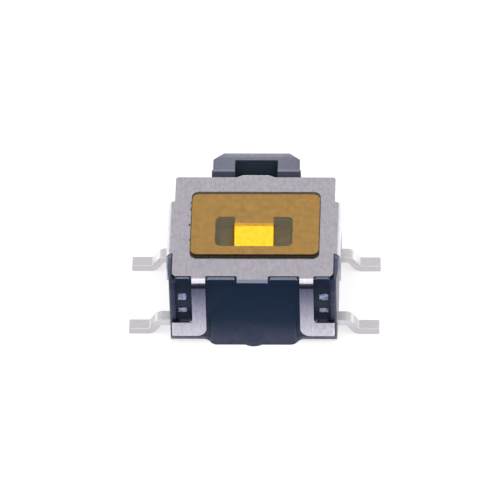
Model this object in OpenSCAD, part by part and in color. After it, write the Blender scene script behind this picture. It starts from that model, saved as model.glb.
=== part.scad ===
// Side-push tactile button switch for surface mounting.
// X runs across the body, Y points out of the button, Z up from the board.
// The origin lies on the board, under the middle of the cover.

/* [Body] */
// Width over the cover's side flanges
body_w = 3.49; // [3.44:0.01:3.60]
// Depth of the cover from its rear edge to its front edge
body_d = 2.93; // [2.90:0.01:3.00]
// Height over the metal cover
body_h = 1.72; // [1.70:0.01:1.80]
// Width of the housing at its rear corners
rear_w = 3.35; // [3.30:0.01:3.40]
// Thickness of the housing's floor
floor_t = 0.45; // [0.43:0.01:0.48]
// Thickness of the wall behind the contacts
rear_wall = 0.45; // [0.43:0.01:0.48]
// How far the housing's rear face stands out past the cover's edge
back_out = 0.07; // [0.06:0.01:0.08]
// How far the thick foot of the rear face stands out
bulge_out = 0.166; // [0.12:0.002:0.18]
// Width of that foot between its rounded ends
bulge_w = 1.46; // [1.30:0.01:1.50]
// Height at which that foot starts
bulge_h = 0.70; // [0.50:0.01:0.80]
// Depth of the pockets beside the rear legs, past the cover's edge
pocket_depth = 0.06; // [0.04:0.01:0.07]

/* [Cover] */
// Thickness of the cover's sheet
sheet_t = 0.10; // [0.08:0.01:0.11]
// Width of the cover's flat plate
plate_w = 3.22; // [3.18:0.01:3.24]
// Distance from the rear edge to the side flanges
flange_from = 0.67; // [0.60:0.01:0.75]
// Length of the side flanges
flange_len = 1.54; // [1.45:0.01:1.58]
// Height of the side flanges' lower edge
flange_low = 0.98; // [0.90:0.01:1.00]
// Outer bend radius of the flanges and of the front tongue
bend_r = 0.15; // [0.13:0.01:0.17]
// Width of each rear leg
leg_w = 0.275; // [0.26:0.005:0.29]
// Distance between the two rear legs
leg_gap = 1.88; // [1.84:0.01:1.90]
// Outer bend radius of the rear legs
leg_bend_r = 0.20; // [0.16:0.01:0.22]
// Width over the feet of the two rear legs
feet_w = 3.256; // [3.20:0.002:3.28]
// Height of each foot
foot_h = 0.37; // [0.32:0.01:0.40]
// Gap between the feet and the board
foot_lift = 0.24; // [0.20:0.01:0.26]
// Width of the rear tongue
rear_tongue_w = 0.62; // [0.50:0.01:0.70]
// How far the rear tongue reaches past the plate
rear_tongue_out = 0.10; // [0.08:0.01:0.12]
// Width of the front tongue at its root
front_tongue_w = 0.76; // [0.70:0.01:0.78]
// Width of the front tongue past its tapered root
front_tongue_tip_w = 0.50; // [0.40:0.01:0.60]
// How far the front tongue reaches past the plate
front_tongue_out = 0.16; // [0.14:0.01:0.18]
// How far the front tongue reaches down from the cover's top
front_tongue_len = 0.57; // [0.45:0.01:0.60]

/* [Slot and finger] */
// Width of the slot in the plate
slot_w = 1.55; // [1.40:0.01:1.65]
// Depth of the slot
slot_d = 0.867; // [0.80:0.001:0.90]
// Distance from the rear edge to the slot
slot_from = 0.885; // [0.86:0.001:0.92]
// Corner radius of the slot
slot_r = 0.12; // [0.08:0.01:0.16]
// Width of the lanced finger
finger_w = 0.78; // [0.60:0.01:0.90]
// Length of the finger's flat root
finger_root = 0.222; // [0.18:0.002:0.26]
// Angle by which the finger is bent down
finger_angle = 30; // [24:1:32]
// Length of the finger's bent part
finger_len = 0.62; // [0.50:0.01:0.64]

/* [Tape] */
// Width of the sealing tape
tape_w = 2.56; // [2.40:0.01:2.80]
// Depth of the sealing tape
tape_d = 1.86; // [1.80:0.01:2.00]
// Distance from the rear edge to the tape
tape_from = 0.545; // [0.50:0.005:0.60]
// Corner radius of the tape
tape_r = 0.15; // [0.10:0.01:0.25]
// Thickness of the tape
tape_t = 0.06; // [0.04:0.01:0.08]

/* [Button] */
// Width of the button's head
head_w = 1.75; // [1.65:0.01:1.80]
// How far the top of the head lies below the cover's top
head_drop = 0.07; // [0.04:0.01:0.12]
// Height of the underside of the head
head_low = 0.30; // [0.20:0.01:0.40]
// Gap between the cover's front edge and the head
head_gap = 0.25; // [0.24:0.01:0.30]
// Length of the head
head_len = 0.55; // [0.50:0.01:0.60]
// Width of the corner bevels of the head
bevel_w = 0.21; // [0.15:0.01:0.26]
// Depth of the corner bevels of the head
bevel_d = 0.19; // [0.10:0.01:0.22]
// Width of the notch in the head
notch_w = 0.86; // [0.84:0.01:0.92]
// Thickness of the bar in front of the notch
bar_t = 0.21; // [0.16:0.01:0.24]
// Width of the button's shoulders inside the housing
shoulder_w = 2.20; // [2.10:0.01:2.30]
// Travel of the button
travel = 0.20; // [0.16:0.01:0.22]

/* [Terminals] */
// Span over the terminal tips
span = 5.02; // [4.90:0.01:5.10]
// Pitch between the front and the rear terminals
pitch = 1.85; // [1.80:0.01:1.90]
// Distance from the rear edge to the rear terminals
terminal_from = 0.145; // [0.14:0.005:0.16]
// Width of a terminal
terminal_w = 0.28; // [0.24:0.01:0.29]
// Thickness of the terminal sheet
terminal_t = 0.144; // [0.12:0.002:0.15]
// Height at which the terminals leave the housing
exit_h = 0.236; // [0.22:0.002:0.25]
// Length of a terminal's flat foot
pad_len = 0.38; // [0.34:0.01:0.42]
// Length over which the terminals come down
bend_run = 0.30; // [0.29:0.01:0.34]

/* [Snap dome] */
// Diameter of the dome before it is trimmed
dome_dia = 2.00; // [1.90:0.01:2.04]
// Gap above and below the trimmed dome
dome_margin = 0.085; // [0.06:0.005:0.12]
// Rise of the dome
dome_rise = 0.30; // [0.28:0.01:0.32]
// Thickness of the dome's sheet
dome_t = 0.05; // [0.04:0.01:0.06]

/* [Hidden] */

$fn = 64;
// Straight steps in one sheet-metal bend
bend_steps = 8;
// Overshoot of a cutting shape past the face that it cuts
cut = 0.2;
// Clearance between moulded faces that slide
slide_gap = 0.02;
// Clearance between pieces that are only laid together
lay_gap = 0.01;

// Main planes
rear_y = -body_d / 2;
front_y = body_d / 2;
rim_z = body_h - sheet_t;
side_x = body_w / 2 - sheet_t;
plate_x = plate_w / 2;
flange_rear_y = rear_y + flange_from;
flange_front_y = flange_rear_y + flange_len;
cavity_y = rear_y + rear_wall;

// Cover's details
front_tongue_low = body_h - front_tongue_len;
foot_top = foot_lift + foot_h;
bend_x = body_w / 2 - bend_r;
bend_z = body_h - bend_r;
plate_r = 0.10;
plate_front_r = 0.06;
foot_r = 0.20;
crotch_r = 0.10;
foot_neck_z = foot_top + 2 * crotch_r;
leg_y = rear_y - back_out - sheet_t;
leg_bend_y = leg_y + leg_bend_r;
leg_bend_z = body_h - leg_bend_r;
tongue_bend_y = front_y + front_tongue_out - bend_r;
tongue_taper_d = 0.08;
tongue_root = 0.10;

// Housing
skirt_x = rear_w / 2 + lay_gap;
skirt_h = flange_low - slide_gap;
skirt_back = 0.25;
ear_slope_h = 0.48;
ear_z = flange_low + ear_slope_h;
skirt_front_y = front_y - skirt_back;
nose_side_x = plate_x - slide_gap;
rear_end_y = flange_rear_y - lay_gap;
rear_corner_r = 0.05;
cavity_x = shoulder_w / 2 + slide_gap;
post_d = 0.40;
post_y = front_y - post_d;
mouth_x = head_w / 2;
leg_in_x = leg_gap / 2;
leg_out_x = leg_in_x + leg_w;
foot_x = feet_w / 2;
back_y = rear_y - back_out;
chamfer = back_out;
seat_gap = 0.02;
lug_in_x = rear_tongue_w / 2 + seat_gap;
lug_out_x = leg_in_x - seat_gap;
lug_over = 0.03;
lug_z = body_h - lay_gap;
lug_root = 0.04;
lug_low = rim_z - lug_root;
lug_r = 0.06;
ledge_in_x = leg_out_x + seat_gap;
ledge_inset = 0.08;
ledge_out_x = foot_x - ledge_inset;
bulge_y = rear_y - bulge_out;
bulge_sweep = 60;
bulge_flat_h = 0.16;
gate_r = 0.30;
gate_out = 0.05;
pocket_y = rear_y + pocket_depth;
pocket_top = lug_low - lay_gap;
pocket_low = exit_h + terminal_t + slide_gap;
core_w = 1.70;
core_d = 0.60;
core_y = 0.35;
core_r = 0.15;
core_h = 0.08;
ejector_x = 1.10;
ejector_y = -0.75;
ejector_r = 0.22;
ejector_depth = 0.04;

// Catches that hold the cover's flanges
window_w = 0.56;
window_h = 0.34;
window_drop = 0.04;
window_z = (flange_low + rim_z) / 2 - window_drop;
catch_y = (flange_rear_y + flange_front_y) / 2;
catch_out = sheet_t - lay_gap;
catch_root = 0.10;

// Button
head_top = body_h - head_drop;
head_back_y = front_y + head_gap;
head_front_y = head_back_y + head_len;
neck_x = head_w / 2 - slide_gap;
neck_drop = 0.17;
neck_top = rim_z - neck_drop;
neck_low = floor_t + slide_gap;
shoulder_drop = 0.05;
shoulder_top = rim_z - shoulder_drop;
shoulder_front_y = post_y - slide_gap;
shoulder_d = 0.62;
shoulder_rear_y = shoulder_front_y - shoulder_d;
groove_gap = 0.10;
groove_z = front_tongue_low - groove_gap;
groove_y = front_y - slide_gap;
apex_y = cavity_y + dome_rise;
nose_y = apex_y + lay_gap;
nose_r = 0.26;
nose_len = 0.12;
tail_rear_y = nose_y + nose_len;
tail_x = 0.70;
lip_out = 0.025;
lip_d = 0.08;
lip_inset = 0.03;

// Finger
finger_bend_r = 0.08;
finger_fold_y = rear_y + slot_from + slot_d - finger_root;
finger_drop = finger_bend_r * (1 - cos(finger_angle)) + finger_len * sin(finger_angle);
tail_top = rim_z - finger_drop - slide_gap;

// Terminals and contact frames
terminal_mid = terminal_w / 2;
rear_terminal_y = rear_y + terminal_from + terminal_mid;
front_terminal_y = rear_terminal_y + pitch;
terminal_bend_r = 0.06;
terminal_bend_x = span / 2 - pad_len - bend_run;
rail_from = 0.10;
rail_d = 0.12;
rail_over = 0.15;
plate_back_y = cavity_y - terminal_t;
plate_drop = 0.13;
plate_top = rim_z - plate_drop;
centre_pad_w = 0.60;
side_pad_x = 0.80;
arm_w = 0.26;
rail_x = side_pad_x + arm_w + rail_over;
side_plate_lift = 0.17;
side_plate_low = floor_t + side_plate_lift;
stub_plate_x = 1.53;
stub_x = 1.32;
stub_w = 0.19;
// Height over the floor and thickness of each stub
stubs = [[0.24, 0.11], [0.57, 0.17]];
stub_out = 0.015;
stud_r = 0.14;
stud_h = dome_rise - dome_t - travel;

// Dome
dome_h = rim_z - floor_t - 2 * dome_margin;
dome_z = (floor_t + rim_z) / 2;
dome_r = (dome_dia * dome_dia / 4 + dome_rise * dome_rise) / (2 * dome_rise);

// Points along a bend around the centre [cx, cy]
function turn(cx, cy, r, a0, a1) =
    [for (i = [0:bend_steps])
        let (a = a0 + (a1 - a0) * i / bend_steps)
        [cx + r * cos(a), cy + r * sin(a)]];

// A box between two opposite corners
module block(low, high) {
    translate(low)
        cube(high - low);
}

// Both mirror images of what is drawn on the right
module both_sides() {
    for (side = [0, 1])
        mirror([side, 0, 0])
            children();
}

// An outline drawn as [y, z], extruded along X
module side_profile(x0, x1, outline) {
    translate([x0, 0, 0])
        rotate([90, 0, 90])
            linear_extrude(x1 - x0)
                polygon(outline);
}

// An outline drawn as [x, z], extruded along Y
module front_profile(y0, y1, outline) {
    translate([0, y1, 0])
        rotate([90, 0, 0])
            linear_extrude(y1 - y0)
                polygon(outline);
}

// A plate with round corners, centred in X, standing on z0
module rounded_plate(w, y0, d, r, z0, t) {
    x = w / 2 - r;
    translate([0, 0, z0])
        linear_extrude(t)
            polygon(concat(
                turn(x, y0 + r, r, -90, 0),
                turn(x, y0 + d - r, r, 0, 90),
                turn(-x, y0 + d - r, r, 90, 180),
                turn(-x, y0 + r, r, 180, 270)));
}

// Housing

module housing_blocks() {
    front_profile(flange_rear_y, flange_front_y, [
        [-side_x, 0], [side_x, 0],
        [side_x, rim_z - bend_r + sheet_t], [side_x - bend_r + sheet_t, rim_z],
        [-side_x + bend_r - sheet_t, rim_z], [-side_x, rim_z - bend_r + sheet_t]]);
    block([-nose_side_x, rear_y, 0], [nose_side_x, front_y, rim_z]);
    block([-skirt_x, flange_rear_y, 0], [skirt_x, skirt_front_y, skirt_h]);
    block([-side_x, rear_end_y, 0], [side_x, flange_rear_y, lug_low]);
}

// Rear block, whose ears widen towards the flanges and carry on their rounded shoulders
module rear_block() {
    x = rear_w / 2 - rear_corner_r;
    y = back_y + rear_corner_r;
    crown_z = lug_z - bend_r;
    intersection() {
        linear_extrude(lug_z)
            polygon(concat(
                [[-body_w / 2, rear_end_y]],
                turn(-x, y, rear_corner_r, 180, 270),
                turn(x, y, rear_corner_r, 270, 360),
                [[body_w / 2, rear_end_y]]));
        front_profile(back_y, rear_end_y, concat(
            [[skirt_x, 0], [skirt_x, flange_low], [body_w / 2, ear_z]],
            turn(bend_x, crown_z, bend_r, 0, 90),
            turn(-bend_x, crown_z, bend_r, 90, 180),
            [[-body_w / 2, ear_z], [-skirt_x, flange_low], [-skirt_x, 0]]));
        side_profile(-body_w / 2, body_w / 2, [
            [back_y + chamfer, 0], [back_y, chamfer], [back_y, lug_z],
            [rear_end_y, lug_z], [rear_end_y, 0]]);
    }
}

// A raised strip behind the plate's rear edge, with round upper corners
module ledge(x0, x1, over) {
    front_profile(back_y - over, rear_y - seat_gap, concat(
        [[x1, lug_low]],
        turn(x1 - lug_r, lug_z - lug_r, lug_r, 0, 90),
        turn(x0 + lug_r, lug_z - lug_r, lug_r, 90, 180),
        [[x0, lug_low]]));
}

// Half of the rear foot's outline, whose end sweeps back on two equal arcs
function foot_outline() =
    let (r = bulge_out / (2 * (1 - cos(bulge_sweep))),
        x = bulge_w / 2,
        end_x = x + 2 * r * sin(bulge_sweep))
    concat(
        turn(x, bulge_y + r, r, 270, 270 + bulge_sweep),
        turn(end_x, rear_y - r, r, 90 + bulge_sweep, 90));

// Thick foot of the rear face, with its sloping top and the gate's nub
module rear_foot() {
    both_sides()
        intersection() {
            linear_extrude(bulge_h)
                polygon(concat([[0, rear_y], [0, bulge_y]], foot_outline()));
            side_profile(0, body_w, [
                [rear_y, 0], [bulge_y, 0], [bulge_y, bulge_flat_h],
                [back_y, bulge_h], [rear_y, bulge_h]]);
        }
    intersection() {
        translate([0, bulge_y - gate_out + gate_r, 0])
            sphere(r = gate_r);
        block([-gate_r, bulge_y - gate_out, 0], [gate_r, rear_y, gate_r]);
    }
}

// Ramped catches that spring into the flanges' windows
module catches() {
    both_sides()
        front_profile(
            catch_y - window_w / 2 + slide_gap, catch_y + window_w / 2 - slide_gap, [
                [side_x - catch_root, window_z - window_h / 2 + slide_gap],
                [side_x + catch_out, window_z - window_h / 2 + slide_gap],
                [side_x + catch_out, window_z],
                [side_x, window_z + window_h / 2 - slide_gap],
                [side_x - catch_root, window_z + window_h / 2 - slide_gap]]);
}

module housing_cavity() {
    block([-cavity_x, cavity_y, floor_t], [cavity_x, post_y, body_h]);
    block([-mouth_x, post_y - cut, floor_t], [mouth_x, front_y + cut, body_h]);
}

// Seat of the cover's plate
module plate_seat() {
    x = plate_x + seat_gap;
    block([-x, back_y - cut, rim_z], [x, front_y + cut, body_h]);
}

// Room for the bends of the cover's rear legs, and the pockets beside the legs
module rear_recesses() {
    both_sides() {
        block(
            [leg_out_x, back_y - cut, pocket_low],
            [ledge_out_x, pocket_y, pocket_top]);
        side_profile(leg_in_x - seat_gap, leg_out_x + seat_gap, [
            [back_y - cut, rim_z + cut],
            [back_y - cut, leg_bend_z],
            [back_y, leg_bend_z],
            [leg_bend_y, rim_z],
            [leg_bend_y, rim_z + cut]]);
    }
}

// Shallow core and ejector marks on the underside
module underside_recesses() {
    translate([0, 0, -cut])
        rounded_plate(core_w, core_y, core_d, core_r, 0, core_h + cut);
    for (side = [-1, 1])
        translate([side * ejector_x, ejector_y, -cut])
            cylinder(r = ejector_r, h = ejector_depth + cut);
}

module housing() {
    color([0.10, 0.13, 0.18])
        difference() {
            union() {
                housing_blocks();
                difference() {
                    rear_block();
                    plate_seat();
                }
                both_sides() {
                    ledge(lug_in_x, lug_out_x, lug_over);
                    ledge(ledge_in_x, ledge_out_x, 0);
                }
                rear_foot();
                catches();
            }
            housing_cavity();
            rear_recesses();
            underside_recesses();
            rear_frame_shape();
            front_frame_shape();
        }
}

// Contact frames

// One terminal from inside the housing out to its foot, centred on y = 0
module terminal(from_x) {
    high = [terminal_bend_x, exit_h - terminal_bend_r];
    low = [terminal_bend_x + bend_run, terminal_t + terminal_bend_r];
    reach = norm(low - high);
    slope = asin((2 * terminal_bend_r + terminal_t) / reach)
        + atan2(high[1] - low[1], low[0] - high[0]);
    outer = terminal_bend_r + terminal_t;
    front_profile(-terminal_mid, terminal_mid, concat(
        [[from_x, exit_h], [from_x, exit_h + terminal_t]],
        turn(high[0], high[1], outer, 90, 90 - slope),
        turn(low[0], low[1], terminal_bend_r, 270 - slope, 270),
        [[span / 2, terminal_t], [span / 2, 0]],
        turn(low[0], low[1], outer, 270, 270 - slope),
        turn(high[0], high[1], terminal_bend_r, 90 - slope, 90)));
}

// Frame whose upright plate faces the middle of the dome
module rear_frame_shape() {
    rail_y = rear_y + rail_from;
    turn_z = exit_h + terminal_t + terminal_bend_r;
    turn_y = plate_back_y - terminal_bend_r;
    outer = terminal_bend_r + terminal_t;
    both_sides()
        translate([0, rear_terminal_y, 0])
            terminal(rail_x);
    block(
        [-rail_x, rail_y, exit_h],
        [rail_x, rail_y + rail_d, exit_h + terminal_t]);
    both_sides()
        block(
            [rail_x, rail_y, exit_h],
            [rail_x + terminal_w, rear_terminal_y + terminal_mid, exit_h + terminal_t]);
    side_profile(-centre_pad_w / 2, centre_pad_w / 2, concat(
        [[rail_y, exit_h + terminal_t], [rail_y, exit_h]],
        turn(turn_y, turn_z, outer, 270, 360),
        [[cavity_y, plate_top], [plate_back_y, plate_top]],
        turn(turn_y, turn_z, terminal_bend_r, 360, 270)));
    translate([0, plate_back_y, dome_z])
        rotate([-90, 0, 0])
            cylinder(r = stud_r, h = terminal_t + stud_h);
}

// Frame whose two upright plates carry the ends of the dome
module front_frame_shape() {
    turn_z = exit_h + terminal_t + terminal_bend_r;
    turn_y = cavity_y + terminal_bend_r;
    outer = terminal_bend_r + terminal_t;
    both_sides() {
        translate([0, front_terminal_y, 0])
            terminal(0);
        side_profile(side_pad_x, side_pad_x + arm_w, concat(
            [[front_terminal_y, exit_h], [front_terminal_y, exit_h + terminal_t]],
            turn(turn_y, turn_z, terminal_bend_r, 270, 180),
            [[cavity_y, plate_top], [plate_back_y, plate_top]],
            turn(turn_y, turn_z, outer, 180, 270)));
        block(
            [side_pad_x, plate_back_y, side_plate_low],
            [stub_plate_x, cavity_y, plate_top]);
        for (stub = stubs)
            block(
                [stub_x, pocket_y - stub_out, floor_t + stub[0]],
                [stub_x + stub_w, plate_back_y, floor_t + stub[0] + stub[1]]);
    }
}

module rear_contact_frame() {
    color([0.82, 0.81, 0.80])
        rear_frame_shape();
}

module front_contact_frame() {
    color([0.82, 0.81, 0.80])
        front_frame_shape();
}

// Snap dome

module snap_dome() {
    color([0.80, 0.80, 0.83])
        intersection() {
            translate([0, apex_y - dome_r, dome_z])
                rotate([-90, 0, 0])
                    difference() {
                        sphere(r = dome_r);
                        sphere(r = dome_r - dome_t);
                    }
            block(
                [-dome_dia / 2 - cut, cavity_y, dome_z - dome_h / 2],
                [dome_dia / 2 + cut, apex_y + cut, dome_z + dome_h / 2]);
        }
}

// Button

module button() {
    color([0.34, 0.35, 0.40])
        difference() {
            union() {
                block([-tail_x, tail_rear_y, neck_low], [tail_x, shoulder_front_y, tail_top]);
                block(
                    [-shoulder_w / 2, shoulder_rear_y, neck_low],
                    [shoulder_w / 2, shoulder_front_y, shoulder_top]);
                block([-neck_x, shoulder_rear_y, neck_low], [neck_x, head_back_y, neck_top]);
                head();
                translate([0, nose_y, dome_z])
                    rotate([-90, 0, 0])
                        cylinder(r = nose_r, h = nose_len + slide_gap);
            }
            block(
                [-notch_w / 2, groove_y, groove_z],
                [notch_w / 2, head_front_y - bar_t, body_h]);
        }
}

// Head with bevelled front corners and a thin moulding lip along its rear edge
module head() {
    x = head_w / 2;
    translate([0, 0, head_low])
        linear_extrude(head_top - head_low)
            polygon([
                [-x, head_back_y], [x, head_back_y],
                [x, head_front_y - bevel_d], [x - bevel_w, head_front_y],
                [-x + bevel_w, head_front_y], [-x, head_front_y - bevel_d]]);
    block(
        [-x - lip_out, head_back_y, head_low + lip_inset],
        [x + lip_out, head_back_y + lip_d, head_top - lip_inset]);
}

// Cover

module plate() {
    difference() {
        linear_extrude(body_h)
            polygon(concat(
                turn(plate_x - plate_r, rear_y + plate_r, plate_r, -90, 0),
                turn(plate_x - plate_front_r, front_y - plate_front_r, plate_front_r, 0, 90),
                turn(-plate_x + plate_front_r, front_y - plate_front_r, plate_front_r, 90, 180),
                turn(-plate_x + plate_r, rear_y + plate_r, plate_r, 180, 270)));
        block([-body_w, rear_y - cut, -cut], [body_w, front_y + cut, rim_z]);
        translate([0, 0, rim_z - cut])
            rounded_plate(slot_w, rear_y + slot_from, slot_d, slot_r, 0, sheet_t + 2 * cut);
        both_sides() {
            block(
                [leg_in_x, rear_y - cut, rim_z - cut],
                [leg_out_x, leg_bend_y, body_h + cut]);
            block(
                [bend_x, flange_rear_y, rim_z - cut],
                [body_w, flange_front_y, body_h + cut]);
        }
        block(
            [-front_tongue_w / 2, tongue_bend_y, rim_z - cut],
            [front_tongue_w / 2, front_y + cut, body_h + cut]);
    }
}

// Finger lanced out of the slot and bent down towards the rear
module finger() {
    root_y = rear_y + slot_from + slot_d;
    centre_z = rim_z - finger_bend_r;
    outer = finger_bend_r + sheet_t;
    a = 90 + finger_angle;
    run = [-cos(finger_angle), -sin(finger_angle)] * finger_len;
    centre = [finger_fold_y, centre_z];
    side_profile(-finger_w / 2, finger_w / 2, concat(
        [[root_y, rim_z], [root_y, body_h]],
        turn(centre[0], centre[1], outer, 90, a),
        [centre + outer * [cos(a), sin(a)] + run, centre + finger_bend_r * [cos(a), sin(a)] + run],
        turn(centre[0], centre[1], finger_bend_r, a, 90)));
}

// Side flange with the window for the housing's catch
module flange() {
    difference() {
        front_profile(flange_rear_y, flange_front_y, concat(
            [[side_x, flange_low]],
            turn(bend_x, bend_z, bend_r - sheet_t, 0, 90),
            turn(bend_x, bend_z, bend_r, 90, 0),
            [[body_w / 2, flange_low]]));
        block(
            [side_x - cut, catch_y - window_w / 2, window_z - window_h / 2],
            [side_x + cut, catch_y + window_w / 2, window_z + window_h / 2]);
    }
}

// Rear leg, bent down the housing's rear face and ending in an outward foot
module leg() {
    inner = leg_bend_r - sheet_t;
    side_profile(leg_in_x, leg_out_x, concat(
        turn(leg_bend_y, leg_bend_z, leg_bend_r, 90, 180),
        [[leg_y, foot_neck_z], [leg_y + sheet_t, foot_neck_z]],
        turn(leg_bend_y, leg_bend_z, inner, 180, 90)));
    front_profile(leg_y, leg_y + sheet_t, concat(
        [[leg_in_x, foot_neck_z]],
        turn(leg_in_x + foot_r, foot_lift + foot_r, foot_r, 180, 270),
        [[foot_x, foot_lift], [foot_x, foot_top]],
        turn(leg_out_x + crotch_r, foot_top + crotch_r, crotch_r, 270, 180),
        [[leg_out_x, foot_neck_z]]));
}

// Front tongue, tapered at its root and bent down into the button's notch
module front_tongue() {
    inner = bend_r - sheet_t;
    x = front_tongue_w / 2;
    tip_x = front_tongue_tip_w / 2;
    taper_y = front_y + tongue_taper_d;
    tip_y = front_y + front_tongue_out;
    intersection() {
        side_profile(-x, x, concat(
            [[front_y - tongue_root, rim_z]],
            turn(tongue_bend_y, bend_z, inner, 90, 0),
            [[tip_y - sheet_t, front_tongue_low], [tip_y, front_tongue_low]],
            turn(tongue_bend_y, bend_z, bend_r, 0, 90),
            [[front_y - tongue_root, body_h]]));
        linear_extrude(body_h)
            polygon([
                [-x, front_y - tongue_root], [x, front_y - tongue_root],
                [x, front_y], [tip_x, taper_y], [tip_x, tip_y],
                [-tip_x, tip_y], [-tip_x, taper_y], [-x, front_y]]);
    }
}

module cover() {
    color([0.70, 0.68, 0.71])
        union() {
            plate();
            finger();
            both_sides() {
                flange();
                leg();
            }
            block(
                [-rear_tongue_w / 2, rear_y - rear_tongue_out, rim_z],
                [rear_tongue_w / 2, rear_y + tongue_root, body_h]);
            front_tongue();
        }
}

// Sealing tape

module sealing_tape() {
    color([0.72, 0.55, 0.20])
        rounded_plate(tape_w, rear_y + tape_from, tape_d, tape_r, body_h, tape_t);
}

housing();
rear_contact_frame();
front_contact_frame();
snap_dome();
button();
cover();
sealing_tape();
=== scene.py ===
"""Looks of a side-push tactile button switch, on its construction model."""

import math

import bpy
from mathutils import Matrix, Vector


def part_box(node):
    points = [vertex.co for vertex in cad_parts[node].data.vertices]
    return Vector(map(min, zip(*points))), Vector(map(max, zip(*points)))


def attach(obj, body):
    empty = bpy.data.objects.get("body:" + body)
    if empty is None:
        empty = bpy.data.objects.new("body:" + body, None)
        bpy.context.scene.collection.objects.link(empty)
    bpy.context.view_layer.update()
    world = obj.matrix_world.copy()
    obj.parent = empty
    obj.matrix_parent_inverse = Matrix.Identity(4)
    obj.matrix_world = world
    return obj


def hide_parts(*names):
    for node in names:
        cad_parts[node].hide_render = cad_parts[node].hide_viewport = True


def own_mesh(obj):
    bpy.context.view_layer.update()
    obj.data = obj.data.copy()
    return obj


bl_info = {
    "name": "Side-push tactile switch",
    "version": (1, 0, 0),
    "blender": (4, 5, 0),
    "location": "View3D > Sidebar > Tactile switch",
    "description": "Builds the visible pieces and the studio of a side-push tactile switch",
    "category": "Object",
}

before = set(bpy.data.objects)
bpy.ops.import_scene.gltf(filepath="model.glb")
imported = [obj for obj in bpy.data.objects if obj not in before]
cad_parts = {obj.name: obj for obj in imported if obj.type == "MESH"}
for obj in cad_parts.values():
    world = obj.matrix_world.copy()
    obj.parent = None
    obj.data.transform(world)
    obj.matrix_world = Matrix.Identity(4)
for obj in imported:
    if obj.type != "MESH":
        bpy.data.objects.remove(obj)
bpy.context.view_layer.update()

MM = 0.001
IMAGE_SIDE = 500
NOISE_RANGE = (0.3, 0.7)
WHITE = "#ffffff"
ROOM_BLUE = "#a9b4de"


# Small helpers


def linear(hex_colour):
    """An sRGB hex colour as linear RGBA."""
    text = hex_colour.lstrip("#")
    srgb = [int(text[i : i + 2], 16) / 255 for i in (0, 2, 4)]
    rgb = [c / 12.92 if c <= 0.04045 else ((c + 0.055) / 1.055) ** 2.4 for c in srgb]
    return (*rgb, 1.0)


def add(tree, kind, links=None, **settings):
    """Adds a node with its socket values and properties, and links sockets to outputs."""
    node = tree.nodes.new(kind)
    for name, value in settings.items():
        setattr(node, name, value)
    for name, source in (links or {}).items():
        socket = node.inputs[name]
        if isinstance(source, bpy.types.NodeSocket):
            tree.links.new(source, socket)
        else:
            socket.default_value = source
    return node


def new_material(name):
    """An empty node material, with its tree and a Principled shader on the output."""
    material = bpy.data.materials.new(name)
    material.use_nodes = True
    tree = material.node_tree
    tree.nodes.clear()
    shader = add(tree, "ShaderNodeBsdfPrincipled")
    add(tree, "ShaderNodeOutputMaterial", {"Surface": shader.outputs["BSDF"]})
    return material, tree, shader


def object_pattern(tree, scale):
    """Object coordinates multiplied by scale, so that a noise of scale 1 has the wanted size."""
    where = add(tree, "ShaderNodeTexCoord")
    return add(
        tree,
        "ShaderNodeMapping",
        {"Vector": where.outputs["Object"], "Scale": scale},
    ).outputs["Vector"]


def per_mm(size_mm):
    """Pattern frequency, in repeats a metre, of a pattern this many millimetres wide."""
    return 1 / (size_mm * MM)


def noise(tree, sizes_mm, detail, roughness=0.6):
    """Cloudy noise whose cells are sizes_mm wide along X, Y and Z.

    It seldom leaves NOISE_RANGE.
    """
    return add(
        tree,
        "ShaderNodeTexNoise",
        {
            "Vector": object_pattern(tree, [per_mm(size) for size in sizes_mm]),
            "Scale": 1.0,
            "Detail": detail,
            "Roughness": roughness,
        },
    ).outputs["Fac"]


def remap(tree, value, low, high, to_low, to_high, curve="LINEAR"):
    """Maps low to to_low and high to to_high, and holds the ends.

    A mask's low and high are often given as one pair: the places where it starts and ends,
    in millimetres.
    """
    return add(
        tree,
        "ShaderNodeMapRange",
        {"Value": value, "From Min": low, "From Max": high, "To Min": to_low, "To Max": to_high},
        interpolation_type=curve,
    ).outputs["Result"]


def place(tree):
    """Object coordinates in millimetres, as separate X, Y and Z."""
    millimetres = object_pattern(tree, (per_mm(1),) * 3)
    return add(tree, "ShaderNodeSeparateXYZ", {"Vector": millimetres}).outputs


def mixed(tree, factor, first, second):
    """A colour between first and second."""
    node = add(
        tree,
        "ShaderNodeMix",
        {"Factor": factor, 6: first, 7: second},
        data_type="RGBA",
    )
    return node.outputs[2]


def spot(tree, centre_mm, size_mm, ragged=0.0):
    """1 inside an ellipsoid with half-axes size_mm, 0 outside, with a ragged rim."""
    where = add(tree, "ShaderNodeTexCoord")
    local = add(
        tree,
        "ShaderNodeMapping",
        {
            "Vector": where.outputs["Object"],
            "Location": [-c / r for c, r in zip(centre_mm, size_mm)],
            "Scale": [per_mm(r) for r in size_mm],
        },
    )
    reach = add(
        tree,
        "ShaderNodeVectorMath",
        {0: local.outputs["Vector"]},
        operation="LENGTH",
    ).outputs["Value"]
    if ragged:
        rough = remap(tree, noise(tree, (0.035,) * 3, 3.0), *NOISE_RANGE, -ragged, ragged)
        reach = add(tree, "ShaderNodeMath", {0: reach, 1: rough}, operation="ADD").outputs["Value"]
    return remap(tree, reach, 0.85, 1.1, 1, 0)


def maximum(tree, *values):
    """The largest of several values."""
    result = values[0]
    for value in values[1:]:
        node = add(tree, "ShaderNodeMath", {0: result, 1: value}, operation="MAXIMUM")
        result = node.outputs["Value"]
    return result


def distance_from(tree, value, centre):
    """How far a value lies from centre, on either side."""
    offset = add(tree, "ShaderNodeMath", {0: value, 1: centre}, operation="SUBTRACT")
    size = add(tree, "ShaderNodeMath", {0: offset.outputs["Value"]}, operation="ABSOLUTE")
    return size.outputs["Value"]


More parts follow.
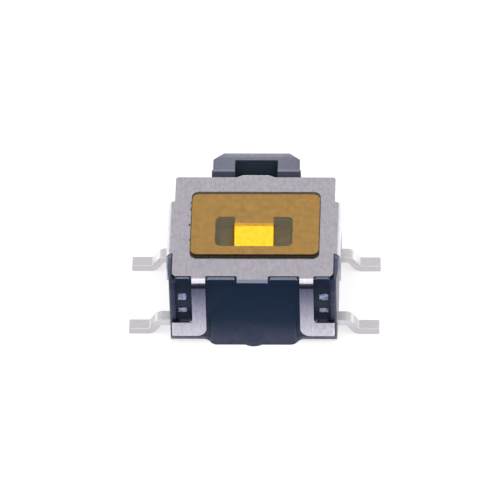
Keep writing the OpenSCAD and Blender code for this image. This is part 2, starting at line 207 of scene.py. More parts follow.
def product(tree, *factors):
    """Several values multiplied."""
    result = factors[0]
    for factor in factors[1:]:
        node = add(tree, "ShaderNodeMath", {0: result, 1: factor}, operation="MULTIPLY")
        result = node.outputs["Value"]
    return result


def deselect():
    """Leaves edit mode and deselects everything."""
    if bpy.context.object and bpy.context.object.mode != "OBJECT":
        bpy.ops.object.mode_set(mode="OBJECT")
    bpy.ops.object.select_all(action="DESELECT")


def activate(piece):
    """Makes piece the only selected object."""
    deselect()
    piece.select_set(True)
    bpy.context.view_layer.objects.active = piece


def select_faces(piece, wanted):
    """Selects the faces for which wanted(face) holds, for the next edit."""
    activate(piece)
    for item in (*piece.data.vertices, *piece.data.edges):
        item.select = False
    for face in piece.data.polygons:
        face.select = bool(wanted(face))
    bpy.context.tool_settings.mesh_select_mode = (False, False, True)


def merged_copy(node, name):
    """A copy of a construction node as one closed mesh with whole faces, at the origin."""
    weld_distance, flat_angle = 1e-7, math.radians(0.5)
    activate(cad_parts[node])
    bpy.ops.object.duplicate()
    piece = bpy.context.object
    piece.name = name
    piece.data.name = name
    for key in list(piece.keys()):
        del piece[key]
    piece.parent = None
    piece.matrix_world = Matrix.Identity(4)
    piece.data.materials.clear()
    activate(piece)
    bpy.ops.mesh.customdata_custom_splitnormals_clear()
    bpy.ops.object.mode_set(mode="EDIT")
    bpy.ops.mesh.select_all(action="SELECT")
    bpy.ops.mesh.remove_doubles(threshold=weld_distance)
    bpy.ops.mesh.dissolve_limited(angle_limit=flat_angle)
    bpy.ops.object.mode_set(mode="OBJECT")
    return piece


def smooth_shading(piece):
    """Smooth shading, apart from edges sharper than crease."""
    crease = math.radians(35)
    activate(piece)
    bpy.ops.object.shade_smooth_by_angle(angle=crease)


def round_edges(piece, width):
    """Rounds every edge sharper than corner. The flat faces beside it are shaded flat."""
    corner = math.radians(28)
    smooth_shading(piece)
    bevel = piece.modifiers.new("rounded edges", "BEVEL")
    bevel.width = width
    bevel.segments = 3
    bevel.limit_method = "ANGLE"
    bevel.angle_limit = corner
    bevel.use_clamp_overlap = True
    bevel.miter_outer = "MITER_ARC"
    bevel.harden_normals = True
    bpy.ops.object.modifier_apply(modifier=bevel.name)


def dress(piece, material, body, slot, *nodes):
    """Gives the piece its material and body, and hides the nodes that it stands for. The argument
    slot is not used.
    """
    piece.data.materials.clear()
    piece.data.materials.append(material)
    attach(piece, body)
    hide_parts(*nodes)


# Materials


def moulded_resin(name, side_colour, painted_sheen_colour, roughness, painted_light_masks):
    """Glass-filled liquid-crystal polymer, injection moulded.

    The eye sees a near-black body with a faint flow pattern and glossy grazing sides.
    The function painted_light_masks says where upward faces carry a painted sheen, a pale colour
    that stands in for the reflection of lamp and backdrop, and where other faces carry painted
    pale light.
    """
    material, tree, shader = new_material(name)
    flow = noise(tree, (0.16, 0.16, 0.05), 4.0)
    grain = noise(tree, (0.022,) * 3, 3.0)
    patches = noise(tree, (0.06,) * 3, 3.0)
    dark, light = Vector(side_colour[:3]) * 0.75, Vector(side_colour[:3]) * 1.25
    side = mixed(tree, flow, (*dark, 1), (*light, 1))
    facing = add(tree, "ShaderNodeNewGeometry")
    up = add(tree, "ShaderNodeSeparateXYZ", {"Vector": facing.outputs["Normal"]})
    upward = remap(tree, up.outputs["Z"], 0.45, 0.98, 0, 1, "SMOOTHSTEP")
    painted_sheen, painted_side_light = painted_light_masks(tree)
    # Painted sheen: upward faces turn pale where the reflection of lamp and backdrop would lie on
    # them.
    painted_light_amount = product(tree, upward, painted_sheen, remap(tree, patches, *NOISE_RANGE, 0.72, 1.0))
    # Painted pale light on sides and hollows: reflections of the bright floor and backdrop, and
    # fill light in shade.
    side_light_colour = linear("#918ea6")
    side_with_light = mixed(tree, painted_side_light, side, side_light_colour)
    base = mixed(tree, painted_light_amount, side_with_light, painted_sheen_colour)
    tinted = add(
        tree,
        "ShaderNodeVectorMath",
        {0: base, "Scale": remap(tree, grain, *NOISE_RANGE, 0.85, 1.15)},
        operation="SCALE",
    )
    tree.links.new(tinted.outputs["Vector"], shader.inputs["Base Color"])
    shine = add(
        tree,
        "ShaderNodeMath",
        {
            0: remap(tree, flow, *NOISE_RANGE, roughness - 0.04, roughness + 0.06),
            1: product(tree, painted_light_amount, 0.3),
        },
        operation="ADD",
    )
    tree.links.new(shine.outputs["Value"], shader.inputs["Roughness"])
    relief = add(
        tree,
        "ShaderNodeBump",
        {"Height": grain, "Strength": 0.25, "Distance": 0.002 * MM},
    )
    tree.links.new(relief.outputs["Normal"], shader.inputs["Normal"])
    shader.inputs["Specular IOR Level"].default_value = 0.2
    shader.inputs["IOR"].default_value = 1.5
    return material


def housing_painted_light(tree):
    """Painted sheen on the lugs' tops and the ears' tips. Painted pale light low down, on the
    ears' sides and in the pockets; the corners partly rubbing wear, partly painted reflection.
    """
    lug_top, plate_edge, ear_tip = (1.66, 1.68), (1.585, 1.605), (-0.93, -0.90)
    foot_height, lip_height, lip_start = (0.0, 0.75), (0.10, 0.16), (0.85, 1.0)
    ear_root, ear_height, ear_face = (1.36, 1.46), (0.9, 1.0), (1.69, 1.72)
    pocket_floor, pocket_height, corner_side = (-1.50, -1.48), (0.5, 1.2), (1.50, 1.66)
    at = place(tree)
    across = distance_from(tree, at["X"], 0)
    high = remap(tree, at["Z"], *lug_top, 0, 1)
    between_ears = remap(tree, across, *plate_edge, 1, 0)
    tips = remap(tree, at["Y"], *ear_tip, 0, 0.6)
    # Painted sheen on the lugs' tops and the ears' tips.
    painted_sheen = product(tree, high, maximum(tree, between_ears, tips))
    foot = remap(tree, at["Z"], *foot_height, 0.20, 0.0, "SMOOTHSTEP")
    lip = product(
        tree,
        remap(tree, at["Z"], *lip_height, 0.9, 0.0),
        remap(tree, across, *lip_start, 0, 1),
    )
    corner = product(
        tree,
        remap(tree, at["Z"], *ear_root, 1, 0.6),
        remap(tree, across, *corner_side, 0.0, 0.34),
    )
    ear_side = product(
        tree,
        remap(tree, across, *ear_face, 0, 0.95),
        remap(tree, at["Z"], *ear_height, 0, 1),
    )
    pocket = product(
        tree,
        remap(tree, at["Y"], *pocket_floor, 0, 1),
        remap(tree, at["Z"], *pocket_height, 0.23, 0.03),
    )
    # Painted pale light: the floor's reflection low down and on the ears' sides, fill light in the
    # shaded pockets, and at the corners some rubbing wear as well.
    painted_light_amount = maximum(tree, foot, lip, corner, ear_side, pocket)
    patchy = remap(tree, noise(tree, (0.2,) * 3, 3.0), *NOISE_RANGE, 0.75, 1.2)
    return painted_sheen, product(tree, painted_light_amount, patchy)


def button_painted_light(tree):
    """Painted sheen on the head's whole top, darker towards a painted highlight along its rear
    edge, and painted pale light on the tail and the shaded step faces.
    """
    head_depth, front_rim, head_side = (1.80, 1.98), (2.10, 2.25), (0.45, 0.86)
    rear_edge_line, head_height, tail_end = (1.742, 1.775), (1.45, 1.60), (0.40, 0.42)
    rear_face_start, rear_face_end = (1.60, 1.70), (1.76, 1.80)
    shoulder_step, step_width = 0.42, (0.01, 0.02)
    at = place(tree)
    # Painted sheen on the head's top, paler towards the front and darker at the sides.
    top = maximum(
        tree,
        remap(tree, at["Y"], *head_depth, 0.05, 0.44, "SMOOTHSTEP"),
        remap(tree, at["Y"], *front_rim, 0.48, 0.95),
    )
    side = remap(tree, distance_from(tree, at["X"], 0), *head_side, 1.0, 0.86)
    # Painted highlight along the head's rear edge, broken into dots.
    rear_edge_highlight = remap(tree, at["Y"], *rear_edge_line, 1, 0)
    dots = remap(tree, noise(tree, (0.035,) * 3, 2.0), 0.45, 0.60, 0.3, 1.0)
    painted_sheen = maximum(tree, product(tree, top, side), product(tree, rear_edge_highlight, dots, 0.34))
    high = remap(tree, at["Z"], *head_height, 0, 1)
    # Painted sheen on the tail, seen through the slot, and painted fill light on the head's rear
    # face and the shoulders' step.
    tail = remap(tree, at["Y"], *tail_end, 0.5, 0)
    rear_face = product(
        tree,
        remap(tree, at["Y"], *rear_face_start, 0, 0.30),
        remap(tree, at["Y"], *rear_face_end, 1, 0),
    )
    step = remap(tree, distance_from(tree, at["Y"], shoulder_step), *step_width, 0.12, 0)
    return maximum(tree, product(tree, high, painted_sheen), tail), maximum(tree, rear_face, step)


def painted_sheet_light(tree, at, across):
    """How much brighter or darker the sheet is: painted glints at the sheared foot ends, a painted
    highlight on the slot's finger, and painted shade on the feet's upper cut faces.
    """
    foot_end, foot_top = (1.55, 1.60), (0.60, 0.70)
    finger_side, finger_middle, finger_reach = (0.43, 0.45), -0.26, (0.32, 0.34)
    leg_side, leg_face = (1.21, 1.23), (-1.54, -1.53)
    cut_bottom, cut_top = (0.597, 0.603), (0.615, 0.62)
    # Painted glints along the sheared foot ends.
    foot_end_glint = product(
        tree,
        remap(tree, across, *foot_end, 0, 1),
        remap(tree, at["Z"], *foot_top, 1, 0),
        remap(tree, noise(tree, (0.04,) * 3, 2.0), 0.5, 0.62, 0, 1),
    )
    # Painted highlight on the slot's finger.
    finger = product(
        tree,
        remap(tree, across, *finger_side, 1, 0),
        remap(tree, distance_from(tree, at["Y"], finger_middle), *finger_reach, 1, 0),
    )
    # Painted shade on the feet's upper cut faces, in the pockets.
    darkened = product(
        tree,
        remap(tree, across, *leg_side, 0, 1),
        remap(tree, at["Y"], *leg_face, 1, 0),
        remap(tree, at["Z"], *cut_bottom, 0, 1),
        remap(tree, at["Z"], *cut_top, 1, 0),
    )
    return product(
        tree,
        remap(tree, foot_end_glint, 0, 1, 1, 1.5),
        remap(tree, finger, 0, 1, 1, 1.85),
        remap(tree, darkened, 0, 1, 1, 0.2),
    )


def dust_specks(tree):
    """Dust stuck along the film's left edge."""
    plate_top, speck_size = 1.72, (0.02, 0.03, 0.1)
    speck_places = ((-1.283, 0.70), (-1.28, 0.50), (-1.295, 0.045), (-1.277, -0.40))
    specks = [spot(tree, (*where, plate_top), speck_size, 0.5) for where in speck_places]
    return maximum(tree, *specks)


def rolled_sheet(name, base_colour, roughness):
    """Nickel-silver strip, rolled and stamped.

    The eye sees fine streaks along the rolling direction, a soft mottle, a few pits, and a dull
    sheared end on the rear tongue.
    Painted glints brighten the sheared foot ends, a painted highlight the slot's finger, and
    painted shade darkens the feet's upper cut faces.
    The streaks are drawn 0.02 mm apart, coarser than the real ones, so that they show.
    """
    tongue_side, tongue_end = (0.33, 0.35), (-1.563, -1.560)
    material, tree, shader = new_material(name)
    streaks = noise(tree, (0.02, 0.5, 0.5), 2.0)
    mottle = noise(tree, (0.06, 0.12, 0.12), 5.0)
    cells = add(
        tree,
        "ShaderNodeTexVoronoi",
        {"Vector": object_pattern(tree, (per_mm(0.10),) * 3), "Scale": 1.0},
    )
    chosen = add(tree, "ShaderNodeSeparateXYZ", {"Vector": cells.outputs["Color"]})
    pits = product(
        tree,
        remap(tree, cells.outputs["Distance"], 0.09, 0.16, 1, 0),
        remap(tree, chosen.outputs["X"], 0.55, 0.65, 0, 1),
    )
    at = place(tree)
    across = distance_from(tree, at["X"], 0)
    tone = product(
        tree,
        remap(tree, dust_specks(tree), 0, 1, 1, 0.25),
        remap(tree, mottle, *NOISE_RANGE, 0.88, 1.10),
        remap(tree, streaks, *NOISE_RANGE, 0.95, 1.04),
        remap(tree, pits, 0, 1, 1, 0.72),
        # Painted glints, a painted highlight and painted shade, from the function above.
        painted_sheet_light(tree, at, across),
    )
    colour = add(
        tree,
        "ShaderNodeVectorMath",
        {0: base_colour[:3], "Scale": tone},
        operation="SCALE",
    )
    sheared = product(
        tree,
        remap(tree, across, *tongue_side, 1, 0),
        remap(tree, at["Y"], *tongue_end, 1, 0),
    )
    sheared_colour = linear("#a8adc0")
    cut = mixed(tree, sheared, colour.outputs["Vector"], sheared_colour)
    tree.links.new(cut, shader.inputs["Base Color"])
    tree.links.new(remap(tree, sheared, 0, 1, 1.0, 0.2), shader.inputs["Metallic"])
    shine = remap(tree, streaks, *NOISE_RANGE, roughness - 0.04, roughness + 0.07)
    tree.links.new(shine, shader.inputs["Roughness"])
    height = add(tree, "ShaderNodeMath", {0: streaks, 1: mottle}, operation="ADD")
    relief = add(
        tree,
        "ShaderNodeBump",
        {"Height": height.outputs["Value"], "Strength": 0.3, "Distance": 0.0015 * MM},
    )
    tree.links.new(relief.outputs["Normal"], shader.inputs["Normal"])
    return material


def plated_strip(name, base_colour, roughness):
    """Spring strip with a plated coat: matte tin on the contacts, silver on the dome.

    The eye sees a pale, slightly uneven metal with a fine crystal grain and rub marks. The stubs
    of the contacts' tie bars, in the housing's pockets, are dull and pale blue with painted
    glints, and have resin round their rims.
    """
    pocket_floor = (-1.40, -1.395)
    bar_x, bar_y, bar_half_width, bar_half_depth = 1.415, -1.42, 0.10, 0.2
    bar_heights = ((0.745, 0.075), (1.105, 0.085))
    material, tree, shader = new_material(name)
    grain = noise(tree, (0.03,) * 3, 4.0)
    rubs = noise(tree, (0.25, 0.03, 0.03), 3.0)
    tone = product(
        tree,
        remap(tree, grain, *NOISE_RANGE, 0.93, 1.05),
        remap(tree, rubs, 0.32, 0.45, 0.90, 1.0),
    )
    tin = add(
        tree,
        "ShaderNodeVectorMath",
        {0: base_colour[:3], "Scale": tone},
        operation="SCALE",
    ).outputs["Vector"]
    in_pocket = remap(tree, place(tree)["Y"], *pocket_floor, 1, 0)
    bars = [
        spot(tree, (side * bar_x, bar_y, height), (bar_half_width, bar_half_depth, half), 0.6)
        for side in (-1, 1)
        for height, half in bar_heights
    ]
    darkened = product(tree, in_pocket, remap(tree, maximum(tree, *bars), 0, 1, 1, 0))
    # Painted glints: pale blue-white specks on the tie bars' ends.
    glint_flecks = remap(tree, noise(tree, (0.05,) * 3, 2.0), 0.4, 0.6, 0, 1)
    bar_colour_with_glints = mixed(tree, glint_flecks, linear("#97a8d0"), linear("#dfe8ff"))
    dulled = mixed(tree, in_pocket, tin, bar_colour_with_glints)
    resin_smear = linear("#1c2c44")
    colour = mixed(tree, darkened, dulled, resin_smear)
    tree.links.new(colour, shader.inputs["Base Color"])
    tree.links.new(remap(tree, in_pocket, 0, 1, 1, 0.2), shader.inputs["Metallic"])
    relief = add(
        tree,
        "ShaderNodeBump",
        {"Height": grain, "Strength": 0.25, "Distance": 0.002 * MM},
    )
    tree.links.new(relief.outputs["Normal"], shader.inputs["Normal"])
    shader.inputs["Roughness"].default_value = roughness
    return material


def film_edge(name):
    """Die-cut edge of the film.

    The eye sees a thin dark brown outline round the film, paler along its front edge.
    """
    front_edge = (0.95, 1.0)
    material, tree, shader = new_material(name)
    brown_mottle = noise(tree, (0.03,) * 3, 3.0)
    brown = mixed(tree, remap(tree, brown_mottle, 0.35, 0.65, 0, 1), linear("#22140f"), linear("#3c261a"))
    front = remap(tree, place(tree)["Y"], *front_edge, 0, 1)
    colour = mixed(tree, front, brown, linear("#8a6238"))
    tree.links.new(colour, shader.inputs["Base Color"])
    shader.inputs["Roughness"].default_value = 0.6
    shader.inputs["Specular IOR Level"].default_value = 0.2
    return material


def polyimide_film(name, base_colour, smudge_colour):
    """Polyimide film with clear adhesive, cast and die-cut.

    The eye sees the metal below through deep amber, and a weak grey reflection on top.
    Over the slot's finger the reflection is painted yellow, a painted reflection that stands in
    for the finger's bright glow.
    """
    finger_side, finger_middle, finger_reach = (0.42, 0.46), -0.32, (0.30, 0.32)
    material, tree, shader = new_material(name)
    ripple = add(
        tree,
        "ShaderNodeTexNoise",
        {
            "Vector": object_pattern(tree, (per_mm(0.5), per_mm(0.35), per_mm(0.5))),
            "Scale": 1.0,
            "Detail": 3.0,
        },
    )
    relief = add(
        tree,
        "ShaderNodeBump",
        {"Height": ripple.outputs["Fac"], "Strength": 0.15, "Distance": 0.004 * MM},
    )
    tree.links.new(relief.outputs["Normal"], shader.inputs["Normal"])
    smudges = remap(tree, noise(tree, (0.16, 0.10, 0.16), 4.0), 0.35, 0.65, 0, 1)
    amber = mixed(tree, smudges, base_colour, smudge_colour)
    tree.links.new(amber, shader.inputs["Base Color"])
    shader.inputs["Transmission Weight"].default_value = 1.0
    shader.inputs["Roughness"].default_value = 0.06
    shader.inputs["IOR"].default_value = 1.66
    at = place(tree)
    # Painted reflection: the specular tint turns the film's reflection yellow over the finger.
    over_finger = product(
        tree,
        remap(tree, distance_from(tree, at["X"], 0), *finger_side, 1, 0),
        remap(tree, distance_from(tree, at["Y"], finger_middle), *finger_reach, 1, 0),
    )
    sheen = mixed(tree, over_finger, linear(WHITE), linear("#ffd020"))
    tree.links.new(sheen, shader.inputs["Specular Tint"])
    return material


# Values that a user would change


class SwitchFinishes(bpy.types.PropertyGroup):
    """Roundings of the pieces' edges"""

    edge: bpy.props.FloatProperty(
        name="Moulded edge",
        description="Width of the rounding on moulded edges",
        default=0.018 * MM,
        unit="LENGTH",
    )
    sheet_edge: bpy.props.FloatProperty(
        name="Sheet edge",
        description="Width of the rounding on stamped edges",
        default=0.014 * MM,
        unit="LENGTH",
    )


def colour_property(name, description, hex_colour):
    """A colour that the user can change, given in sRGB."""
    return bpy.props.FloatVectorProperty(
        name=name,
        description=description,
        default=linear(hex_colour),
        size=4,
        min=0.0,
        max=1.0,
        subtype="COLOR",
    )


class SwitchColours(bpy.types.PropertyGroup):
    """Main colour of each finish"""

    housing_side: colour_property("Housing", "Smooth sides of the housing", "#122843")
    # Painted sheen: a paler copy of the housing's colour for its upward faces.
    housing_sheen: colour_property("Housing, bare", "Painted sheen on upward faces of the housing", "#757a89")
    button_side: colour_property("Button", "Smooth sides of the button", "#36424f")
    # Painted sheen: a paler copy of the button's colour for its head's top.
    button_sheen: colour_property("Button, bare", "Painted sheen on the top of the button's head", "#9b99a9")
    cover: colour_property("Cover", "Rolled sheet of the cover", "#c0bbc4")
    terminals: colour_property("Terminals", "Tin on the contact frames", "#dcd8db")
    dome: colour_property("Snap dome", "Silvered spring strip of the dome", "#cfced3")
    film: colour_property("Film", "Light seen through the film", "#f7d464")
    film_smudge: colour_property("Film, smudged", "Darker patches in the film", "#e8c75a")


class SwitchStudio(bpy.types.PropertyGroup):
    """Where the camera stands"""

    azimuth: bpy.props.FloatProperty(
        name="Camera azimuth",
        description="Turn of the camera round the switch, from straight behind it",
        default=math.radians(2.49),
        subtype="ANGLE",
    )
    elevation: bpy.props.FloatProperty(
        name="Camera elevation",
        description="Height of the camera over the board",
        default=math.radians(42.67),
        subtype="ANGLE",
    )
    roll: bpy.props.FloatProperty(
        name="Camera roll",
        description="Turn of the picture",
        default=math.radians(1.57),
        subtype="ANGLE",
    )
    distance: bpy.props.FloatProperty(
        name="Camera distance",
        description="Distance from the camera to the switch",
        default=0.2,
        unit="LENGTH",
    )
    field: bpy.props.FloatProperty(
        name="Field",
        description="Width of the picture at the switch",
        default=10.05 * MM,
        unit="LENGTH",
    )


# Pieces


def draft_side_walls(piece):
    """Leans the rear block's side walls inwards, as the mould's draft does."""
    wall_x, block_front = 1.62 * MM, -0.85 * MM
    waist, ear, foot_height = 0.98 * MM, 1.60 * MM, 0.3 * MM
    waist_lean, foot_spread = 0.045 * MM, 0.01 * MM
    for vertex in piece.data.vertices:
        across, height = abs(vertex.co.x), vertex.co.z
        if across < wall_x or vertex.co.y > block_front or not 0.0 <= height < ear:
            continue
        lean = height / waist if height < waist else (ear - height) / (ear - waist)
        inwards = waist_lean * lean - foot_spread * max(0.0, 1 - height / foot_height)
        vertex.co.x -= math.copysign(inwards, vertex.co.x)


class SWITCH_OT_housing(bpy.types.Operator):
    """Black moulded housing"""

    bl_idname = "switch.housing"
    bl_label = "Housing"

    def execute(self, context):
        colours = context.scene.switch_colours
        piece = merged_copy("housing", "housing_moulding")
        round_edges(piece, context.scene.switch_finishes.edge)
        draft_side_walls(piece)
        resin = moulded_resin(
            "Liquid-crystal polymer, black",
            colours.housing_side[:],
            colours.housing_sheen[:],
            roughness=0.24,
            painted_light_masks=housing_painted_light,
        )
        dress(piece, resin, "base", "housing_resin", "housing")
        return {"FINISHED"}


class SWITCH_OT_button(bpy.types.Operator):
    """Dark grey moulded button"""

    bl_idname = "switch.button"
    bl_label = "Button"

    def execute(self, context):
        colours = context.scene.switch_colours
        piece = merged_copy("button", "button_moulding")
        round_edges(piece, context.scene.switch_finishes.edge)
        resin = moulded_resin(
            "Liquid-crystal polymer, grey",
            colours.button_side[:],
            colours.button_sheen[:],
            roughness=0.4,
            painted_light_masks=button_painted_light,
        )
        dress(piece, resin, "button", "button_resin", "button")
        return {"FINISHED"}


def shift_slot(piece):
    """Moves the slot's outline and the finger's free end back a little, as on this sample."""
    half_width, rear_end, front_end = 0.79 * MM, -0.62 * MM, 0.36 * MM
    finger_side, finger_tip, front_edge = 0.45 * MM, -0.3 * MM, 0.2 * MM
    shift = 0.03 * MM
    for vertex in piece.data.vertices:
        across, along = abs(vertex.co.x), vertex.co.y
        in_slot = across < half_width and rear_end < along < front_end
        if in_slot and (across > finger_side or along < finger_tip or along > front_edge):
            vertex.co.y -= shift


class SWITCH_OT_cover(bpy.types.Operator):
    """Stamped and bent metal cover"""

    bl_idname = "switch.cover"
    bl_label = "Cover"

    def execute(self, context):
        piece = merged_copy("cover", "cover_sheet_metal")
        shift_slot(piece)
        round_edges(piece, context.scene.switch_finishes.sheet_edge)
        colour = context.scene.switch_colours.cover[:]
        sheet = rolled_sheet("Nickel silver, rolled", colour, roughness=0.2)
        dress(piece, sheet, "base", "cover_sheet", "cover")
        return {"FINISHED"}


class SWITCH_OT_contacts(bpy.types.Operator):
    """Both contact frames with their gull-wing terminals"""

    bl_idname = "switch.contacts"
    bl_label = "Contact frames"

    def execute(self, context):
        colour = context.scene.switch_colours.terminals[:]
        tin = plated_strip("Tin plating, matte", colour, roughness=0.33)
        for side in ("rear", "front"):
            node = side + "_contact_frame"
            piece = merged_copy(node, side + "_terminals")
            round_edges(piece, context.scene.switch_finishes.sheet_edge)
            dress(piece, tin, "base", "plated_contact", node)
        return {"FINISHED"}


class SWITCH_OT_dome(bpy.types.Operator):
    """Snap dome, the spring that the button pushes flat; here it keeps one shape."""

    bl_idname = "switch.dome"
    bl_label = "Snap dome"

    def execute(self, context):
        piece = merged_copy("snap_dome", "dome_spring")
        smooth_shading(piece)
        colour = context.scene.switch_colours.dome[:]
        steel = plated_strip("Stainless spring strip, silver plated", colour, roughness=0.22)
        dress(piece, steel, "base", "spring_sheet", "snap_dome")
        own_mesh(piece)
        return {"FINISHED"}


def stick_film(piece, middle):
    """Places the film slightly off centre and clear of the cover, as it was stuck on."""
    stretch, shift, lift = 1.012, 0.025 * MM, 0.0008 * MM
    for vertex in piece.data.vertices:
        vertex.co.x = vertex.co.x * stretch + shift
        vertex.co.y += shift
        if vertex.co.z < middle:
            vertex.co.z += lift


class SWITCH_OT_tape(bpy.types.Operator):
    """Amber film over the cover's slot"""

    bl_idname = "switch.tape"
    bl_label = "Sealing tape"

    def execute(self, context):
        piece = merged_copy("sealing_tape", "amber_tape")
        low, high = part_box("sealing_tape")
        rim = 0.012 * MM
        select_faces(piece, lambda face: face.normal.z > 0.9)
        bpy.ops.object.mode_set(mode="EDIT")
        bpy.ops.mesh.inset(thickness=rim, depth=0)
        bpy.ops.object.mode_set(mode="OBJECT")
        colours = context.scene.switch_colours
        film = polyimide_film("Polyimide film", colours.film[:], colours.film_smudge[:])
        dress(piece, film, "base", "amber_film", "sealing_tape")
        piece.data.materials.append(film_edge("Film's cut edge, dark brown"))
        top = max(
            (face for face in piece.data.polygons if face.normal.z > 0.9),
            key=lambda face: face.area,
        )
        for face in piece.data.polygons:
            face.material_index = 0 if face == top or face.normal.z < -0.9 else 1
        stick_film(piece, (low.z + high.z) / 2)
        smooth_shading(piece)
        return {"FINISHED"}


# Stage


def direction_along(tree, towards):
    """Cosine between a ray's direction and an axis."""
    where = add(tree, "ShaderNodeTexCoord")
    return add(
        tree,
        "ShaderNodeVectorMath",
        {0: where.outputs["Generated"], 1: towards},
        operation="DOT_PRODUCT",
    ).outputs["Value"]


def studio_floor():
    """Pale paper floor that looks white and keeps the switch's soft shadow.

    In reflections it's lit around the switch and in front of it, and dark further behind. It
    lies a hair under the switch, so that no two faces share a plane.
    """
    lit_from, rear_shade, front_light = (-4.2, -2.0), (-1.9, -1.5), (0.9, 2.0)
    hair = 0.004 * MM
    deselect()
    bpy.ops.mesh.primitive_plane_add(size=2.0, location=(0, 0, -hair))
    floor = bpy.context.object
    floor.name = "studio_floor"
    material = bpy.data.materials.new("Paper, white")
    material.use_nodes = True
    tree = material.node_tree
    tree.nodes.clear()
    path = add(tree, "ShaderNodeLightPath")
    seen = maximum(tree, path.outputs["Is Camera Ray"], path.outputs["Is Transmission Ray"])
    paper = add(tree, "ShaderNodeBsdfDiffuse", {"Color": linear("#b4b4b4")})
    glow = add(tree, "ShaderNodeEmission", {"Strength": product(tree, seen, 0.66)})
    both = add(
        tree,
        "ShaderNodeAddShader",
        {0: paper.outputs["BSDF"], 1: glow.outputs["Emission"]},
    )
    along = place(tree)["Y"]
    lit = remap(tree, along, *lit_from, 0.05, 1.35)
    beside = remap(tree, along, *rear_shade, 1.0, 0.68)
    front = remap(tree, along, *front_light, 1.0, 1.9)
    whiteness = remap(tree, lit, 0.3, 1.5, 0, 1)
    mirrored = add(
        tree,
        "ShaderNodeEmission",
        {
            "Color": mixed(tree, whiteness, linear(ROOM_BLUE), linear(WHITE)),
            "Strength": product(tree, lit, beside, front),
        },
    )
    surface = add(
        tree,
        "ShaderNodeMixShader",
        {
            0: path.outputs["Is Glossy Ray"],
            1: both.outputs["Shader"],
            2: mirrored.outputs["Emission"],
        },
    )
    add(tree, "ShaderNodeOutputMaterial", {"Surface": surface.outputs["Shader"]})
    floor.data.materials.append(material)


def studio_world():
    """Surroundings: a pale backdrop in front, brighter low down, and a dark room behind.

    The camera sees plain white instead.
    """
    world = bpy.data.worlds.new("studio surroundings")
    bpy.context.scene.world = world
    world.use_nodes = True
    tree = world.node_tree
    tree.nodes.clear()
    forward = direction_along(tree, (0, 1, 0))
    backdrop = remap(tree, forward, -0.5, 0.1, 0.12, 0.83, "SMOOTHSTEP")
    low = remap(tree, direction_along(tree, (0, 0, -1)), -0.35, 0.0, 0.0, 0.95, "SMOOTHSTEP")
    low_front = product(tree, low, remap(tree, forward, 0.2, 0.6, 0, 1, "SMOOTHSTEP"))
    glow = add(tree, "ShaderNodeMath", {0: backdrop, 1: low_front}, operation="ADD")
    path = add(tree, "ShaderNodeLightPath")
    seen = maximum(tree, path.outputs["Is Camera Ray"], path.outputs["Is Transmission Ray"])
    level = add(
        tree,
        "ShaderNodeMix",
        {"Factor": seen, "A": glow.outputs["Value"], "B": 1.0},
        data_type="FLOAT",
    )
    whiteness = remap(tree, level.outputs["Result"], 0.05, 0.5, 0, 1)
    sky = add(
        tree,
        "ShaderNodeBackground",
        {
            "Color": mixed(tree, whiteness, linear(ROOM_BLUE), linear(WHITE)),
            "Strength": level.outputs["Result"],
        },
    )
    add(tree, "ShaderNodeOutputWorld", {"Surface": sky.outputs["Background"]})


def softbox(name, where, width, depth, radiance):
    """A rectangular lamp facing down. Its power gives its face the wanted brightness."""
    data = bpy.data.lights.new(name, "AREA")
    data.shape = "RECTANGLE"
    data.size = width
    data.size_y = depth
    data.energy = radiance * math.pi * width * depth
    lamp = bpy.data.objects.new(name, data)
    bpy.context.scene.collection.objects.link(lamp)
    lamp.location = where


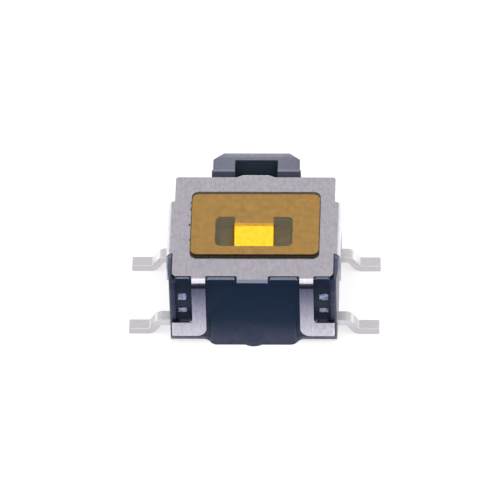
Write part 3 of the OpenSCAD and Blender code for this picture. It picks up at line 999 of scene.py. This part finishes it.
def studio_camera(studio):
    """Camera at the picture's angle: straight behind the switch, looking down on it."""
    a, e, r = studio.azimuth, studio.elevation, studio.roll
    back = Vector((math.sin(a) * math.cos(e), -math.cos(a) * math.cos(e), math.sin(e)))
    level = Vector((math.cos(a), math.sin(a), 0))
    steep = back.cross(level)
    right = level * math.cos(r) - steep * math.sin(r)
    up = steep * math.cos(r) + level * math.sin(r)
    heart = Vector((0, 0, 0.9 * MM))
    heart_pixel = (254.9, 256.5)
    pixel = studio.field / IMAGE_SIDE
    beside = (heart_pixel[0] - IMAGE_SIDE / 2) * pixel
    below = (heart_pixel[1] - IMAGE_SIDE / 2) * pixel
    middle = heart - right * beside + up * below
    data = bpy.data.cameras.new("camera")
    data.sensor_width = 36
    data.lens = data.sensor_width * studio.distance / studio.field
    data.clip_start = 0.005
    data.clip_end = 10
    camera = bpy.data.objects.new("camera", data)
    bpy.context.scene.collection.objects.link(camera)
    camera.matrix_world = Matrix(
        (
            (right.x, up.x, back.x, middle.x + back.x * studio.distance),
            (right.y, up.y, back.y, middle.y + back.y * studio.distance),
            (right.z, up.z, back.z, middle.z + back.z * studio.distance),
            (0, 0, 0, 1),
        )
    )
    bpy.context.scene.camera = camera


class SWITCH_OT_stage(bpy.types.Operator):
    """Floor, surroundings, lamp and camera"""

    bl_idname = "switch.stage"
    bl_label = "Studio"

    def execute(self, context):
        studio_floor()
        studio_world()
        softbox("softbox overhead", where=(0, -0.26, 0.30), width=1.50, depth=0.48, radiance=1.66)
        studio_camera(context.scene.switch_studio)
        context.scene.view_settings.view_transform = "Standard"
        return {"FINISHED"}


STEPS = (
    SWITCH_OT_stage,
    SWITCH_OT_housing,
    SWITCH_OT_contacts,
    SWITCH_OT_dome,
    SWITCH_OT_button,
    SWITCH_OT_cover,
    SWITCH_OT_tape,
)


class SWITCH_PT_panel(bpy.types.Panel):
    """Lists the steps that build the switch"""

    bl_idname = "SWITCH_PT_panel"
    bl_label = "Tactile switch"
    bl_space_type = "VIEW_3D"
    bl_region_type = "UI"
    bl_category = "Tactile switch"

    def draw(self, context):
        scene = context.scene
        for group in (scene.switch_finishes, scene.switch_colours, scene.switch_studio):
            for name in group.__annotations__:
                self.layout.prop(group, name)
        for step in STEPS:
            self.layout.operator(step.bl_idname)


CLASSES = (SwitchFinishes, SwitchColours, SwitchStudio, *STEPS, SWITCH_PT_panel)


def register():
    for cls in CLASSES:
        bpy.utils.register_class(cls)
    bpy.types.Scene.switch_finishes = bpy.props.PointerProperty(type=SwitchFinishes)
    bpy.types.Scene.switch_colours = bpy.props.PointerProperty(type=SwitchColours)
    bpy.types.Scene.switch_studio = bpy.props.PointerProperty(type=SwitchStudio)


def unregister():
    del bpy.types.Scene.switch_studio
    del bpy.types.Scene.switch_colours
    del bpy.types.Scene.switch_finishes
    for cls in reversed(CLASSES):
        bpy.utils.unregister_class(cls)


def main():
    register()
    bpy.ops.switch.stage()
    bpy.ops.switch.housing()
    bpy.ops.switch.contacts()
    bpy.ops.switch.dome()
    bpy.ops.switch.button()
    bpy.ops.switch.cover()
    bpy.ops.switch.tape()


if __name__ == "__main__":
    main()
